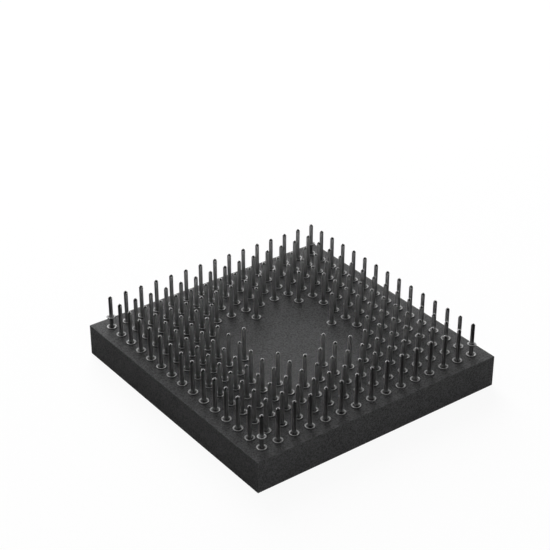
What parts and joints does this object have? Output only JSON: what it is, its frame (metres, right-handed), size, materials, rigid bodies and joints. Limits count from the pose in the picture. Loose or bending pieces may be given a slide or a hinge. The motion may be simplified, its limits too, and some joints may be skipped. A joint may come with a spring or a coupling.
{
  "type": "digital signal processor in a ceramic pin grid package",
  "caption": "Square dark ceramic chip package with rows of round pins on one face and collared stand-off pins at its corners.",
  "frame": {"origin": "middle of the plain face of the cap, on which the part rests", "axes": "+Z out of the pin side along the pins; +X and +Y along the sides of the square body, with pin rows a to r running along X"},
  "size_m": [0.0402, 0.0402, 0.0097],
  "materials": {
    "ceramic": "matt dark grey fired alumina",
    "sealing_glass": "dull dark grey sealing glass",
    "silver_glass": "dull silver-filled die attach",
    "silicon": "polished silicon",
    "bond_wire": "drawn aluminium wire",
    "braze": "nickel-plated braze, bright at the rim and dull inside it",
    "pin_plating": "satin plated iron-nickel-cobalt alloy, rubbed bright at the tips"
  },
  "bodies": {
    "root": {"ceramic_base": "ceramic", "cap_plate": "ceramic", "glass_seal": "sealing_glass", "die_attach": "silver_glass", "silicon_die": "silicon", "bond_wires_front": "bond_wire", "bond_wires_right": "bond_wire", "bond_wires_back": "bond_wire", "bond_wires_left": "bond_wire", "braze_pads": "braze", "standoff_pins": "pin_plating", "pins_row_a": "pin_plating", "pins_row_b": "pin_plating", "pins_row_c": "pin_plating", "pins_row_d": "pin_plating", "pins_row_e": "pin_plating", "pins_row_f": "pin_plating", "pins_row_g": "pin_plating", "pins_row_h": "pin_plating", "pins_row_j": "pin_plating", "pins_row_k": "pin_plating", "pins_row_l": "pin_plating", "pins_row_m": "pin_plating", "pins_row_n": "pin_plating", "pins_row_p": "pin_plating", "pins_row_r": "pin_plating"}
  },
  "joints": []
}
